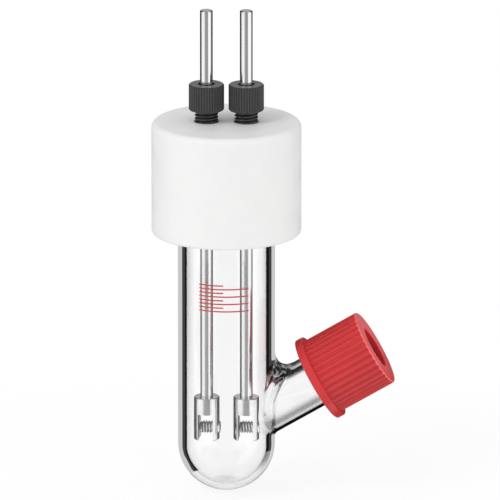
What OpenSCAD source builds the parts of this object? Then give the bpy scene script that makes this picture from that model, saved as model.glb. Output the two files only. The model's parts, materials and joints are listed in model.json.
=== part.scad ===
// An undivided electrolytic cell: a round-bottomed glass tube with a sloping screw-necked side arm,
// a thick screwed plastic lid, and two rod electrodes that stand in knurled screw glands
// and end in slotted clamps. The origin is the lowest point of the glass, on the tube's axis.
// +Z is up and the side arm leans towards +X.

/* [Glass tube] */
// Outside diameter of the tube
tube_d = 23; // [21:0.5:36]
// Thickness of the tube's wall
tube_wall = 1.5; // [1:0.1:2.2]
// Height of the tube, from its lowest point to its rim
tube_h = 76.1; // [60:0.1:120]
// Pitch of the thread on the tube's neck
neck_pitch = 3.5; // [2.5:0.1:4]
// Turns of thread on the tube's neck
neck_turns = 3; // [1:1:3]
// Height of the thread above the neck
neck_thread_h = 0.95; // [0.5:0.05:1.4]
// Length of plain neck between the rim and the first turn
neck_lead = 2; // [1:0.1:3]

/* [Side arm] */
// Outside diameter of the side arm
arm_d = 12.6; // [9:0.1:14]
// Thickness of the side arm's wall
arm_wall = 1.4; // [0.9:0.1:2]
// Slope of the side arm above the horizontal, in degrees
arm_slope = 30.2; // [20:0.1:40]
// Height at which the side arm's axis crosses the tube's axis
arm_z = 14.5; // [14:0.1:22]
// Length of the side arm from the tube's axis to its rim
arm_len = 37.1; // [34:0.05:60]
// Pitch of the thread on the side arm
arm_pitch = 2.5; // [1.5:0.1:3]
// Turns of thread on the side arm
arm_turns = 3; // [1:1:3]
// Height of the thread above the side arm
arm_thread_h = 1; // [0.5:0.05:1.3]
// Length of plain arm between its rim and the first turn
arm_lead = 1.5; // [0.8:0.1:2.4]
// How far the glass flares up the tube above the side arm
flare_rise = 2.6; // [1:0.1:5]
// How far the flare runs out along the side arm
flare_reach = 2.6; // [1:0.1:5]

/* [Lid] */
// Thickness of the lid's wall round the neck
lid_wall = 5.1; // [3:0.05:8]
// Thickness of the lid above its seal
lid_top_t = 12.5; // [11:0.1:20]
// Depth of the lid's skirt below its seal
lid_skirt = 14.4; // [14:0.1:20]
// Rounding of the lid's top edge
lid_top_round = 1.4; // [0.5:0.1:2.8]
// Rounding of the lid's bottom edge
lid_bottom_round = 0.7; // [0.4:0.1:2.5]
// Thickness of the flat seal in the lid
gasket_t = 1.5; // [0.8:0.1:3]
// Width of the flat seal
gasket_w = 3.5; // [2.5:0.1:4]

/* [Glands] */
// Distance between the two rod axes
rod_spacing = 9.4; // [9:0.1:11]
// Outside diameter of the gland nut's knurled head
nut_d = 8.35; // [7:0.05:8.7]
// Height of the knurled head
nut_head_h = 6.3; // [4:0.1:12]
// Diameter of the gland nut's thread
nut_thread_d = 5.6; // [5.2:0.1:6.4]
// Pitch of the gland nut's thread
nut_pitch = 0.8; // [0.5:0.05:1.2]
// Length of the gland nut's thread
nut_thread_len = 8; // [6:0.5:9]
// Height at which the tightened head stands above the lid
nut_stand = 2.8; // [0.5:0.1:3]
// Number of teeth in the knurl
knurl_teeth = 40; // [24:1:48]
// Depth of the knurl
knurl_depth = 0.2; // [0.1:0.02:0.3]
// Bevel on both ends of the knurled head
nut_bevel = 0.25; // [0.1:0.05:1]
// Thickness of the thrust washer under the nut
washer_t = 1; // [0.5:0.1:1.5]

/* [Electrodes] */
// Diameter of the rods
rod_d = 3; // [2.4:0.1:3.2]
// Length of rod that stands free above each gland nut
rod_free = 17.9; // [8:0.1:40]
// Bevel on the rod's top
rod_bevel = 0.3; // [0.1:0.05:0.6]
// Height of the clamps' lower ends above the tube's lowest point
clamp_z = 12.4; // [12:0.1:20]
// Diameter of the clamps
clamp_d = 6.1; // [5.5:0.1:6.6]
// Height of the clamps
clamp_h = 10.4; // [8:0.1:16]
// Width of the slot that holds a plate
slot_w = 3.5; // [2:0.1:4]
// Depth of the slot
slot_depth = 6.4; // [5:0.1:7]
// Depth to which the rod sits in its clamp
rod_seat = 3.3; // [1.5:0.1:3.6]
// Turn of the clamps about their rods, in degrees
clamp_turn = -5; // [-45:1:45]
// Diameter of the grub screw across the slot
screw_d = 3; // [2:0.1:3.6]
// Pitch of the grub screw
screw_pitch = 0.65; // [0.35:0.05:0.8]
// Height of the grub screw's axis above the clamp's lower end
screw_rise = 2.9; // [2.2:0.1:3.2]
// How far the grub screw stands out of its clamp
screw_proud = 0.15; // [0:0.05:0.5]

/* [Side cap] */
// Thickness of the side cap's wall, with its ribs
cap_wall = 1.95; // [1.6:0.05:3]
// Length of the side cap
cap_len = 16.1; // [13:0.1:20]
// Thickness of the side cap's end face
cap_face_t = 1.5; // [1:0.1:2.5]
// Diameter of the opening in the end face
cap_hole_d = 10.2; // [6:0.1:11]
// Thickness of the collar at the cap's open end
collar_t = 2; // [1:0.1:3]
// How far the collar stands out beyond the ribs
collar_rise = 1.05; // [0.3:0.05:1.5]
// Rounding of the cap's outer edge
cap_round = 0.4; // [0.4:0.05:1.2]
// Number of ribs round the cap
cap_ribs = 36; // [20:1:48]
// Depth of the grooves between the ribs
rib_depth = 0.5; // [0.2:0.05:0.8]
// Thickness of the soft septum
septum_t = 2; // [1:0.1:3]
// Thickness of the facing on the septum's glass side
facing_t = 0.25; // [0.2:0.05:0.5]

/* [Hidden] */
$fn = 96;
// Radial gap between a screw's crest and the plain bore that stands for its female thread
thread_gap = 0.15;
// Radial gap of a rod in a hole that it slides through
slide_gap = 0.1;
// Radial gap round a seal in its seat
seal_gap = 0.075;
// Radial gap round a disc or ring that lies in a wider bore
loose_gap = 0.25;
// Overrun of every cut past the face that it opens
over = 0.5;
// Bevel on glass rims and small machined edges
edge = 0.35;
// How deep the root of a ridge or a rib sinks into the form that carries it
ridge_sink = 0.4;
// Widths of a glass thread's foot and crest, as shares of its pitch
ridge_foot_share = 0.6;
ridge_crest_share = 0.25;
// Depth of a metal screw's thread as a share of its pitch
thread_depth_share = 0.6;
// Where a metal thread's crest starts and ends in one pitch
crest_from_share = 0.44;
crest_to_share = 0.56;
// Corners of one knurl tooth and of one cap rib, as shares of the step round the rim
knurl_shares = [0, 0.5];
rib_shares = [0, 0.22, 0.56, 0.78];
// Faces of the flare's outline, and the thickness of its two end slices
flare_sides = 32;
flare_slice = 0.2;
// How far the flare's foot lies inside the tube's surface, and its end inside the side arm's
flare_inset = 0.3;
flare_tuck = 0.1;
// How much wider than the arm the flare's foot is on each side
flare_side = 1.6;
// How far the flare's foot reaches below the side arm
flare_drop = 0.8;
// Width and depth of the ring that marks the rod's set depth, in the gland nut's mouth
mark_w = 0.6;
mark_depth = 0.1;
// Width of the countersink in the gland nut's mouth
nut_mouth = 0.8;
// Width across the flats of the grub screw's socket, and its depth
socket_w = 1.5;
socket_depth = 1.2;
// Bevel on the grub screw's ends
screw_bevel = 0.4;
// Gap between the grub screw's point and the prong that it presses on
screw_gap = 0.1;
left = -1;
right = 1;

tube_r = tube_d / 2;
tube_bore_r = tube_r - tube_wall;
neck_crest_r = tube_r + neck_thread_h;
arm_r = arm_d / 2;
arm_bore_r = arm_r - arm_wall;
arm_crest_r = arm_r + arm_thread_h;

lid_bore_r = neck_crest_r + thread_gap;
lid_r = lid_bore_r + lid_wall;
lid_ceiling_z = tube_h + gasket_t;
lid_top_z = lid_ceiling_z + lid_top_t;
lid_bottom_z = lid_ceiling_z - lid_skirt;
lid_h = lid_top_z - lid_bottom_z;

rod_r = rod_d / 2;
rod_hole_r = rod_r + slide_gap;
nut_r = nut_d / 2;
nut_thread_r = nut_thread_d / 2;
gland_r = nut_thread_r + slide_gap;
seal_section = gland_r - rod_r - 2 * seal_gap;
nut_head_z = lid_top_z + nut_stand;
nut_top_z = nut_head_z + nut_head_h;
nut_foot_z = nut_head_z - nut_thread_len;
washer_z = nut_foot_z - washer_t;
gland_floor_z = washer_z - seal_section - 2 * seal_gap;

clamp_r = clamp_d / 2;
clamp_top_z = clamp_z + clamp_h;
rod_foot_z = clamp_top_z - rod_seat;
rod_top_z = nut_top_z + rod_free;
screw_z = clamp_z + screw_rise;
screw_r = screw_d / 2;
screw_len = slot_w / 2 + clamp_r + screw_proud - screw_gap;

cap_end = arm_len + facing_t + septum_t + cap_face_t;
cap_start = cap_end - cap_len;
cap_bore_r = arm_crest_r + thread_gap;
cap_r = cap_bore_r + cap_wall;
septum_r = cap_bore_r - loose_gap;

// A point at radius r and angle a
function polar(r, a) = [r * cos(a), r * sin(a)];

// The outline of a wheel of n teeth, each with corners at these shares of a step and at these radii
function toothed(n, shares, radii) =
    [for (i = [0 : n - 1]) for (k = [0 : len(shares) - 1]) polar(radii[k], (i + shares[k]) * 360 / n)];

// The outline of a ringed shank, from its foot up: a groove and a crest for each pitch
function shank(r, pitch, len, bevel) = let (
    depth = pitch * thread_depth_share,
    turns = floor((len - 2 * bevel) / pitch))
    concat([[0, 0], [r - bevel, 0]],
        [for (i = [0 : turns - 1]) each [
            [r - depth, bevel + i * pitch],
            [r, bevel + (i + crest_from_share) * pitch],
            [r, bevel + (i + crest_to_share) * pitch]]],
        [[r - depth, bevel + turns * pitch], [r - depth, len], [0, len]]);

// What a rounding of radius f takes off a corner, with the corner's centre at the origin
module corner_waste(f) {
    difference() {
        square(f + over);
        circle(f);
    }
}

// An upright disc with both outer edges rounded
module rounded_disc(r, h, top_round, bottom_round) {
    rotate_extrude()
        difference() {
            square([r, h]);
            translate([r - top_round, h - top_round])
                corner_waste(top_round);
            translate([r - bottom_round, bottom_round])
                mirror([0, 1])
                    corner_waste(bottom_round);
        }
}

// An upright disc with both outer edges bevelled
module bevelled_disc(r, h, bevel) {
    rotate_extrude()
        polygon([[0, 0], [r - bevel, 0], [r, bevel], [r, h - bevel], [r - bevel, h], [0, h]]);
}

// A flat ring between two radii
module ring(outer_r, inner_r, h) {
    difference() {
        cylinder(r = outer_r, h = h);
        translate([0, 0, -over])
            cylinder(r = inner_r, h = h + 2 * over);
    }
}

// A closed-ended round form standing on its half ball, up to height h
module test_tube(r, h) {
    rotate_extrude()
        intersection() {
            translate([0, r])
                circle(r);
            square(r);
        }
    translate([0, 0, r])
        cylinder(r = r, h = h - r);
}

// The thread of a glass neck, as rings below height z
module neck_rings(r, rise, pitch, turns, z) {
    for (i = [0 : turns - 1])
        translate([0, 0, z - (i + ridge_foot_share / 2) * pitch])
            rotate_extrude()
                polygon([[r - ridge_sink, -pitch * ridge_foot_share / 2],
                    [r, -pitch * ridge_foot_share / 2],
                    [r + rise, -pitch * ridge_crest_share / 2],
                    [r + rise, pitch * ridge_crest_share / 2],
                    [r, pitch * ridge_foot_share / 2],
                    [r - ridge_sink, pitch * ridge_foot_share / 2]]);
}

// Turns a form that stands on +Z onto the side arm's axis
module on_arm() {
    translate([0, 0, arm_z])
        rotate([0, 90 - arm_slope, 0])
            children();
}

// Puts a form on the axis of the left or the right rod
module on_rod(side) {
    translate([side * rod_spacing / 2, 0, 0])
        children();
}

// The glass that widens the side arm where it leaves the tube
module arm_flare() {
    middle_z = arm_z + tube_r * tan(arm_slope);
    high_z = middle_z + arm_r / cos(arm_slope) + flare_rise;
    low_z = middle_z - arm_r / cos(arm_slope) - flare_drop;
    foot_y = min(arm_r + flare_side, tube_bore_r);
    foot_x = sqrt(tube_r * tube_r - foot_y * foot_y) - flare_inset;
    end_s = (tube_r + arm_r * sin(arm_slope)) / cos(arm_slope) + flare_reach;
    hull() {
        translate([foot_x, 0, (high_z + low_z) / 2])
            rotate([0, 90, 0])
                scale([(high_z - low_z) / 2, foot_y, flare_slice])
                    cylinder(r = 1, h = 1, center = true, $fn = flare_sides);
        on_arm()
            translate([0, 0, end_s])
                cylinder(r = arm_r - flare_tuck, h = flare_slice, $fn = flare_sides);
    }
}

module glass_tube() {
    color([0.86, 0.92, 0.94, 0.4])
        difference() {
            union() {
                test_tube(tube_r, tube_h - edge);
                translate([0, 0, tube_h - edge])
                    cylinder(r1 = tube_r, r2 = tube_r - edge, h = edge);
                neck_rings(tube_r, neck_thread_h, neck_pitch, neck_turns, tube_h - neck_lead);
                arm_flare();
                on_arm() {
                    translate([0, 0, tube_bore_r])
                        cylinder(r = arm_r, h = arm_len - edge - tube_bore_r);
                    translate([0, 0, arm_len - edge])
                        cylinder(r1 = arm_r, r2 = arm_r - edge, h = edge);
                    neck_rings(arm_r, arm_thread_h, arm_pitch, arm_turns, arm_len - arm_lead);
                }
            }
            translate([0, 0, tube_wall])
                test_tube(tube_bore_r, tube_h);
            on_arm()
                cylinder(r = arm_bore_r, h = arm_len + over);
        }
}

module lid() {
    color("white")
        difference() {
            translate([0, 0, lid_bottom_z])
                rounded_disc(lid_r, lid_h, lid_top_round, lid_bottom_round);
            translate([0, 0, lid_bottom_z - over])
                cylinder(r = lid_bore_r, h = lid_skirt + over);
            for (side = [left, right])
                on_rod(side) {
                    translate([0, 0, gland_floor_z])
                        cylinder(r = gland_r, h = lid_top_z - gland_floor_z + over);
                    translate([0, 0, lid_ceiling_z - over])
                        cylinder(r = rod_hole_r, h = lid_top_t);
                }
        }
}

module lid_gasket() {
    color("gainsboro")
        translate([0, 0, tube_h])
            ring(lid_bore_r - thread_gap, lid_bore_r - thread_gap - gasket_w, gasket_t);
}

// A knurled gland nut with its hollow threaded shank
module gland_nut() {
    color([0.12, 0.12, 0.13])
        difference() {
            union() {
                translate([0, 0, nut_foot_z])
                    rotate_extrude()
                        polygon(shank(nut_thread_r, nut_pitch, nut_thread_len, edge));
                translate([0, 0, nut_head_z])
                    intersection() {
                        linear_extrude(nut_head_h)
                            polygon(toothed(knurl_teeth, knurl_shares, [nut_r, nut_r - knurl_depth]));
                        bevelled_disc(nut_r + over, nut_head_h, nut_bevel + over);
                    }
            }
            translate([0, 0, nut_foot_z - over])
                cylinder(r = rod_hole_r, h = nut_thread_len + nut_head_h + 2 * over);
            translate([0, 0, nut_top_z - nut_mouth])
                cylinder(r1 = rod_hole_r, r2 = rod_hole_r + nut_mouth, h = nut_mouth);
        }
}

module gland_nut_left() {
    on_rod(left)
        gland_nut();
}

module gland_nut_right() {
    on_rod(right)
        gland_nut();
}

// The thrust washer between a gland nut and its seal
module gland_washer() {
    color("ivory")
        translate([0, 0, washer_z])
            ring(nut_thread_r, rod_hole_r, washer_t);
}

module gland_washer_left() {
    on_rod(left)
        gland_washer();
}

module gland_washer_right() {
    on_rod(right)
        gland_washer();
}

// The round-section seal that grips a rod
module gland_oring() {
    color("dimgray")
        translate([0, 0, (gland_floor_z + washer_z) / 2])
            rotate_extrude()
                translate([(rod_r + gland_r) / 2, 0])
                    circle(seal_section / 2);
}

module gland_oring_left() {
    on_rod(left)
        gland_oring();
}

module gland_oring_right() {
    on_rod(right)
        gland_oring();
}

// A rod with a fine ring turned into it in the gland nut's mouth
module electrode_rod() {
    color("silver")
        rotate_extrude()
            polygon([[0, rod_foot_z], [rod_r - rod_bevel, rod_foot_z], [rod_r, rod_foot_z + rod_bevel],
                [rod_r, nut_top_z - mark_w], [rod_r - mark_depth, nut_top_z - mark_w / 2],
                [rod_r, nut_top_z], [rod_r, rod_top_z - rod_bevel],
                [rod_r - rod_bevel, rod_top_z], [0, rod_top_z]]);
}

module electrode_rod_left() {
    on_rod(left)
        electrode_rod();
}

module electrode_rod_right() {
    on_rod(right)
        electrode_rod();
}

// A round clamp with a slot across its lower half, and a cross hole for its grub screw
module electrode_clamp() {
    color("gainsboro")
        rotate([0, 0, clamp_turn])
            difference() {
                translate([0, 0, clamp_z])
                    bevelled_disc(clamp_r, clamp_h, edge);
                translate([-slot_w / 2, -clamp_d, clamp_z - over])
                    cube([slot_w, 2 * clamp_d, slot_depth + over]);
                translate([0, 0, screw_z])
                    rotate([0, 90, 0])
                        cylinder(r = screw_r + slide_gap, h = clamp_d);
                translate([0, 0, rod_foot_z])
                    cylinder(r = rod_r, h = rod_seat + over);
            }
}

module electrode_clamp_left() {
    on_rod(left)
        electrode_clamp();
}

module electrode_clamp_right() {
    on_rod(right)
        electrode_clamp();
}

// A grub screw that crosses the slot, with its socket in the outer end
module clamp_screw() {
    color("darkgray")
        rotate([0, 0, clamp_turn])
            translate([screw_gap - slot_w / 2, 0, screw_z])
                rotate([0, 90, 0])
                    difference() {
                        rotate_extrude()
                            polygon(shank(screw_r, screw_pitch, screw_len, screw_bevel));
                        translate([0, 0, screw_len - socket_depth])
                            cylinder(d = socket_w / cos(30), h = socket_depth + over, $fn = 6);
                    }
}

module clamp_screw_left() {
    on_rod(left)
        clamp_screw();
}

module clamp_screw_right() {
    on_rod(right)
        clamp_screw();
}

module side_cap() {
    groove_r = cap_r - rib_depth;
    root_r = groove_r - ridge_sink;
    color([0.78, 0.16, 0.17])
        on_arm()
            translate([0, 0, cap_start])
                difference() {
                    union() {
                        cylinder(r = cap_r + collar_rise, h = collar_t);
                        linear_extrude(cap_len - cap_round)
                            polygon(toothed(cap_ribs, rib_shares, [root_r, cap_r, cap_r, root_r]));
                        rounded_disc(groove_r, cap_len, cap_round, over);
                    }
                    translate([0, 0, -over])
                        cylinder(r = cap_bore_r, h = cap_len - cap_face_t + over);
                    cylinder(d = cap_hole_d, h = cap_len + over);
                }
}

module side_septum() {
    color("indianred")
        on_arm()
            translate([0, 0, arm_len + facing_t])
                cylinder(r = septum_r, h = septum_t);
}

module septum_facing() {
    color("whitesmoke")
        on_arm()
            translate([0, 0, arm_len])
                cylinder(r = septum_r, h = facing_t);
}

glass_tube();
lid();
lid_gasket();
gland_nut_left();
gland_nut_right();
gland_washer_left();
gland_washer_right();
gland_oring_left();
gland_oring_right();
electrode_rod_left();
electrode_rod_right();
electrode_clamp_left();
electrode_clamp_right();
clamp_screw_left();
clamp_screw_right();
side_cap();
side_septum();
septum_facing();
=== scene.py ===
# %% [markdown]
# # An electrolytic cell
# A round-bottomed glass tube carries a thick white lid. Two steel rods stand in the lid, each held by
# a black knurled nut, and end in slotted clamps inside the glass. A side arm with a red ribbed cap
# slopes up to the right. This lesson dresses the measured model, piece by piece, for a photograph.
#
# Everything is in metres in the model's own frame: the lowest point of the glass is the origin and
# +Z is up. Sizes are written in millimetres, as on a drawing, and scaled as a piece is made.

# %% Load the measured model
import bpy
import bmesh
import json
import math
import numpy as np
from mathutils import Matrix, Vector

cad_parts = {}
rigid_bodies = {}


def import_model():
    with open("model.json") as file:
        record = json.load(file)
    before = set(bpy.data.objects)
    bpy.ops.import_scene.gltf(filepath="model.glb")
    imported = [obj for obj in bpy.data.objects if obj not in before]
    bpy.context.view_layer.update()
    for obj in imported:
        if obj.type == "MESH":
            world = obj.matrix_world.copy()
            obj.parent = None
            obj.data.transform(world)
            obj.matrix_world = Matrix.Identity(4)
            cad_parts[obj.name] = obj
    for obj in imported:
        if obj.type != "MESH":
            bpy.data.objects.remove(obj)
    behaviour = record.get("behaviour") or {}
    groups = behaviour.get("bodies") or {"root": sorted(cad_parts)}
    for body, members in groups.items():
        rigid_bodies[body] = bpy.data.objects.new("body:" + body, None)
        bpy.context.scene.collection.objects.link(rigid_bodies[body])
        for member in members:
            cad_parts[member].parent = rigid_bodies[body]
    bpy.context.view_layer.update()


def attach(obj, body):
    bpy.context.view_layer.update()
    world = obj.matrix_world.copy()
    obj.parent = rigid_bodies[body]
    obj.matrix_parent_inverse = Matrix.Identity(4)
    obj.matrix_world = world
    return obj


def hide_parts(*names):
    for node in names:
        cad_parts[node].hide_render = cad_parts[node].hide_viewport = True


for left_over in list(bpy.data.objects):
    bpy.data.objects.remove(left_over)
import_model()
MM = 0.001

# %% [markdown]
# ## Sizes
# These are the sizes that several pieces and finishes share, in millimetres. A radius ends in _r. Heights
# on the tube and the rods are measured from the table, and those on the side arm along its own axis.

# %% Shared sizes, in millimetres
tube_r, bore_r, ball_z, rim_z = 11.5, 10.0, 11.5, 76.1
arm_r, arm_bore_r, arm_rim, arm_z, lean = 6.3, 4.9, 37.1, 14.5, math.radians(30.2)
neck_len, neck_pitch, arm_thread_len, arm_pitch = 12.5, 3.5, 9.15, 2.5
lid_r, lid_low, lid_high, lid_bore_r, lid_roof = 17.7, 63.2, 90.1, 12.6, 77.6
rod_x, rod_r, rod_low, rod_high = 4.7, 1.5, 19.5, 117.1
nut_bore_r, shank_r, head_r, nut_low, head_low, head_high = 1.6, 2.8, 4.175, 84.9, 92.9, 99.2
cap_r, cap_bore_r, collar_r, cap_low, cap_high = 9.4, 7.45, 10.45, 24.75, 40.85
clamp_r, clamp_low, clamp_high, screw_r, screw_z = 3.05, 12.4, 22.8, 1.5, 15.3
print("cell", 2 * lid_r, "wide at the lid and", rod_high, "tall")

# %% [markdown]
# ## The camera
# The photograph was taken from a long way off, because upright edges stay parallel in it, from 15
# degrees above the table and a little towards the side arm: the lid's ellipse gives the first angle,
# and the cap's ellipse the second. A very long lens three metres away gives that look, and one
# millimetre of the cell is then 4.23 pixels of a 500 pixel picture.

# %% Camera
scene = bpy.context.scene
view_centre = Vector((5.58, 0, 58.65)) * MM
look_down, look_round = math.radians(15.3), math.radians(1.8)
distance, seen_width, sensor = 3.0, 118.25 * MM, 36
camera = bpy.data.objects.new("camera", bpy.data.cameras.new("camera"))
scene.collection.objects.link(camera)
camera.data.sensor_width = sensor
camera.data.lens = sensor * distance / seen_width
camera.data.clip_start, camera.data.clip_end = distance / 30, distance * 10
camera.location = view_centre + distance * Vector((
    math.sin(look_round) * math.cos(look_down), -math.cos(look_round) * math.cos(look_down),
    math.sin(look_down)))
camera.rotation_euler = (math.radians(90) - look_down, 0, look_round)
scene.camera = camera
print("lens", round(camera.data.lens), "mm")

# %% [markdown]
# ## Sums that wire nodes
# A finish is a tree of nodes, and most of it is arithmetic. `Wire` stands for one output of a node:
# adding, multiplying or comparing it adds the Math node that does so. `Wiring` owns a tree, and its
# `node` adds any other node: its type, what goes into its sockets, then its settings. The same two
# classes wire the finishes, the studio's surroundings and the shapes made with Geometry Nodes.

# %% Wire and Wiring
def sign(operation):
    """A sign that can stand between a wire and a value."""
    return lambda wire, other: wire.of(operation, other)


class Wire:
    """One output of a node, that sums can be written with."""

    def __init__(self, wiring, socket):
        self.wiring, self.socket = wiring, socket

    def of(self, operation, *others):
        """What a Math node makes of this value and the others."""
        return self.wiring.maths(operation, self, *others)

    def __rsub__(self, other):
        return self.wiring.maths("SUBTRACT", other, self)

    def wave(self, length):
        """A ripple from -1 to 1 that repeats each time the value grows by length."""
        return (self * (2 * math.pi / length)).of("SINE")

    __add__ = __radd__ = sign("ADD")
    __mul__ = __rmul__ = sign("MULTIPLY")
    __sub__, __truediv__, __pow__ = sign("SUBTRACT"), sign("DIVIDE"), sign("POWER")
    __gt__, __lt__ = sign("GREATER_THAN"), sign("LESS_THAN")


class Wiring:
    """A node tree, with a method that adds any node to it and short ones for the common nodes."""

    def __init__(self, tree):
        self.tree = tree
        tree.nodes.clear()

    def node(self, kind, sockets=None, out=0, **settings):
        """The out output of a new node, once its settings and its sockets are filled in."""
        made = self.tree.nodes.new(kind)
        for name, value in settings.items():
            setattr(made, name, value)
        for name, value in (sockets or {}).items():
            if isinstance(value, Wire):
                self.tree.links.new(value.socket, made.inputs[name])
            else:
                made.inputs[name].default_value = value
        return Wire(self, made.outputs[out]) if made.outputs else None

    def maths(self, operation, *values):
        return self.node("ShaderNodeMath", dict(enumerate(values)), operation=operation)

    def step(self, value, low, high, start=0.0, end=1.0):
        """Eases from start to end while value goes from low to high."""
        return self.node("ShaderNodeMapRange", {0: value, 1: low, 2: high, 3: start, 4: end},
                         interpolation_type="SMOOTHSTEP")

    def ramp(self, value, *stops):
        """A tone that follows stops of (value, tone)."""
        tone = self.node("ShaderNodeValToRGB", {0: value})
        elements = tone.socket.node.color_ramp.elements
        elements.remove(elements[1])
        for at, colour in stops:
            stop = elements[0] if at == stops[0][0] else elements.new(at)
            stop.position = at
            stop.color = (*colour, 1) if isinstance(colour, tuple) else grey(colour)
        return tone

    def parts(self, vector):
        """The x, y and z of a vector."""
        split = self.node("ShaderNodeSeparateXYZ", {0: vector}).socket.node
        return [Wire(self, o) for o in split.outputs]

    def joined(self, x=0.0, y=0.0, z=0.0):
        """The vector of an x, a y and a z."""
        return self.node("ShaderNodeCombineXYZ", {0: x, 1: y, 2: z})

    def mixed(self, factor, first, second, blend="MIX"):
        """A colour between two colours."""
        return self.node("ShaderNodeMix", {0: factor, 6: first, 7: second}, 2, data_type="RGBA",
                         blend_type=blend)

    def either(self, factor, first, second):
        """A shader between two shaders."""
        return self.node("ShaderNodeMixShader", {0: factor, 1: first, 2: second})

    def ray(self, fact):
        """What is known of the ray that meets the surface."""
        return self.node("ShaderNodeLightPath", None, fact)


def diagonal(a, b):
    """The distance from an axis, from the distances a and b along the two others."""
    return (a * a + b * b) ** 0.5


def grey(value):
    return (value, value, value, 1)


print("wires ready")

# %% [markdown]
# ## The studio
# What a polished rod shows is the room: a dim middle where the camera stands, white soft boxes at
# both sides, and dark gaps at the far ends. A world that answers by the kind of ray gives each its
# own surroundings: white behind the object and through the glass, the room's strips for a
# mirror-like reflection, and for matt surfaces a light that is strongest near the horizon, which
# leaves the lid's top darker than its side.

# %% Surroundings
scene.view_settings.view_transform = "Standard"
scene.world = bpy.data.worlds.new("studio")
scene.world.use_nodes = True
room = Wiring(scene.world.node_tree)
white_air = grey(1)
across, deep, high = room.parts(room.node("ShaderNodeTexCoord", None, "Generated"))
bearing = across.of("ARCTAN2", deep * -1) / (2 * math.pi) + 0.5
strips = room.ramp(
    bearing, (0.0, 0.48), (0.02, 0.40), (0.045, 0.02), (0.215, 0.02), (0.25, 0.95), (0.30, 1.15),
    (0.395, 1.15), (0.44, 0.44), (0.5, 0.37), (0.575, 0.34), (0.61, 1.15), (0.66, 1.30), (0.785, 1.05),
    (0.812, 0.04), (0.955, 0.02), (0.98, 0.40), (1.0, 0.48))
strips = room.mixed(1.0, strips, room.step(high, 0.25, 0.9, 1.0, 0.55), "MULTIPLY")
soft = room.step(high, 0.05, 0.75, 0.905, 0.74) * (across.of("ABSOLUTE") * 0.12 + 0.95)
seen = room.mixed(room.ray("Glossy Depth") > 0.5, white_air, strips)
seen = room.mixed(room.ray("Diffuse Depth") > 0.5, seen, soft)
seen = room.mixed(room.ray("Is Camera Ray"), seen, white_air)
sky = room.node("ShaderNodeBackground", {"Color": seen, "Strength": 1.0})
room.node("ShaderNodeOutputWorld", {"Surface": sky})
print("world nodes", len(room.tree.nodes))

# %% Soft boxes
def soft_box(name, place, side, watts):
    """A square lamp that looks at the middle of the cell."""
    lamp = bpy.data.objects.new(name, bpy.data.lights.new(name, "AREA"))
    lamp.data.shape, lamp.data.size, lamp.data.energy = "SQUARE", side, watts
    lamp.location = Vector(place)
    lamp.rotation_euler = (view_centre - lamp.location).to_track_quat("-Z", "Y").to_euler()
    lamp.visible_glossy = lamp.visible_transmission = False
    scene.collection.objects.link(lamp)


soft_box("high_left_box", (-0.60, -0.50, 0.90), 0.45, 3.2)
soft_box("front_right_box", (0.80, -0.95, 0.30), 0.70, 1.6)
print("soft boxes 2")

# %% [markdown]
# ## Finishes
# Each finish starts from where a point is on its piece, read as object coordinates, because every
# piece stays in the model's frame. The colour, the roughness and the height of the tiny marks vary
# over the surface. What is the same everywhere is set on the shader itself.

# %% Finish
class Finish(Wiring):
    """A material: its nodes, and where a point is on its piece, in millimetres."""

    def __init__(self, name):
        self.material = bpy.data.materials.new(name)
        self.material.use_nodes = True
        super().__init__(self.material.node_tree)
        self.place = self.node("ShaderNodeTexCoord", None, "Object")
        self.x, self.y, self.z = [part / MM for part in self.parts(self.place)]

    def grain(self, size, detail=2.0, stretch=None):
        """Soft random spots of about the given size in millimetres, from 0 to 1."""
        place = self.place
        if stretch:
            place = self.node("ShaderNodeMapping", {"Vector": place, "Scale": stretch})
        scale = 0.6 / (size * MM)
        return self.node("ShaderNodeTexNoise", {"Vector": place, "Scale": scale, "Detail": detail})

    def bumps(self, height, depth):
        """Marks that are depth millimetres deep where height goes from 0 to 1."""
        return self.node("ShaderNodeBump", {"Height": height, "Distance": depth * MM, "Strength": 1.0})

    def dull(self, spots, low, high):
        """A roughness that goes from low to high over random spots."""
        return self.step(spots, 0.3, 0.7, low, high)

    def shader(self, **sockets):
        """A Principled shader. An underscore stands for the space in a socket's name."""
        named = {name.replace("_", " "): value for name, value in sockets.items()}
        return self.node("ShaderNodeBsdfPrincipled", named, "BSDF")

    def finished(self, surface):
        """The material, once its surface is known."""
        self.node("ShaderNodeOutputMaterial", {"Surface": surface})
        return self.material

    def shade(self, **sockets):
        """The material of one Principled shader."""
        return self.finished(self.shader(**sockets))


print("finish ready")

# %% [markdown]
# ## Glass
# Borosilicate glass is clear, and what shows it is its edge, and that edge is painted: a glowing emission
# paints its reflection, pale grey at the very outline for the light from the sides of the room, and then a
# dark band for the dark gaps the wall would mirror. Ramps on how far the surface turns away round its axis
# draw that painted edge from every side and height: one says how much of it there is and one how light it
# is. The arm has one pair of ramps above and one below, and painted pale streaks where it joins the tube.
# On the round bottom the edge gives way to a thin grey line and a soft grey spot, painted shade in the
# glass's tint. The painted edge belongs to the outer skin alone, and a polished rod doesn't mirror it.

# %% The edge of the glass
glass = Finish("clear_glass")
facing = glass.node("ShaderNodeLayerWeight", {"Blend": 0.5}, "Facing")


def turned_away(axis_x, axis_z, at_rest):
    """How far the skin faces away round the axis, the same from high and low."""
    axis = glass.joined(axis_x, 0.0, axis_z)
    end_on = 1 - glass.node("ShaderNodeLayerWeight", {"Blend": 0.5, "Normal": axis}, "Facing")
    side_on = (1 - end_on * end_on).of("MAXIMUM", 0.01) ** 0.5
    return 1 - (1 - facing) * at_rest / side_on


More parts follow.
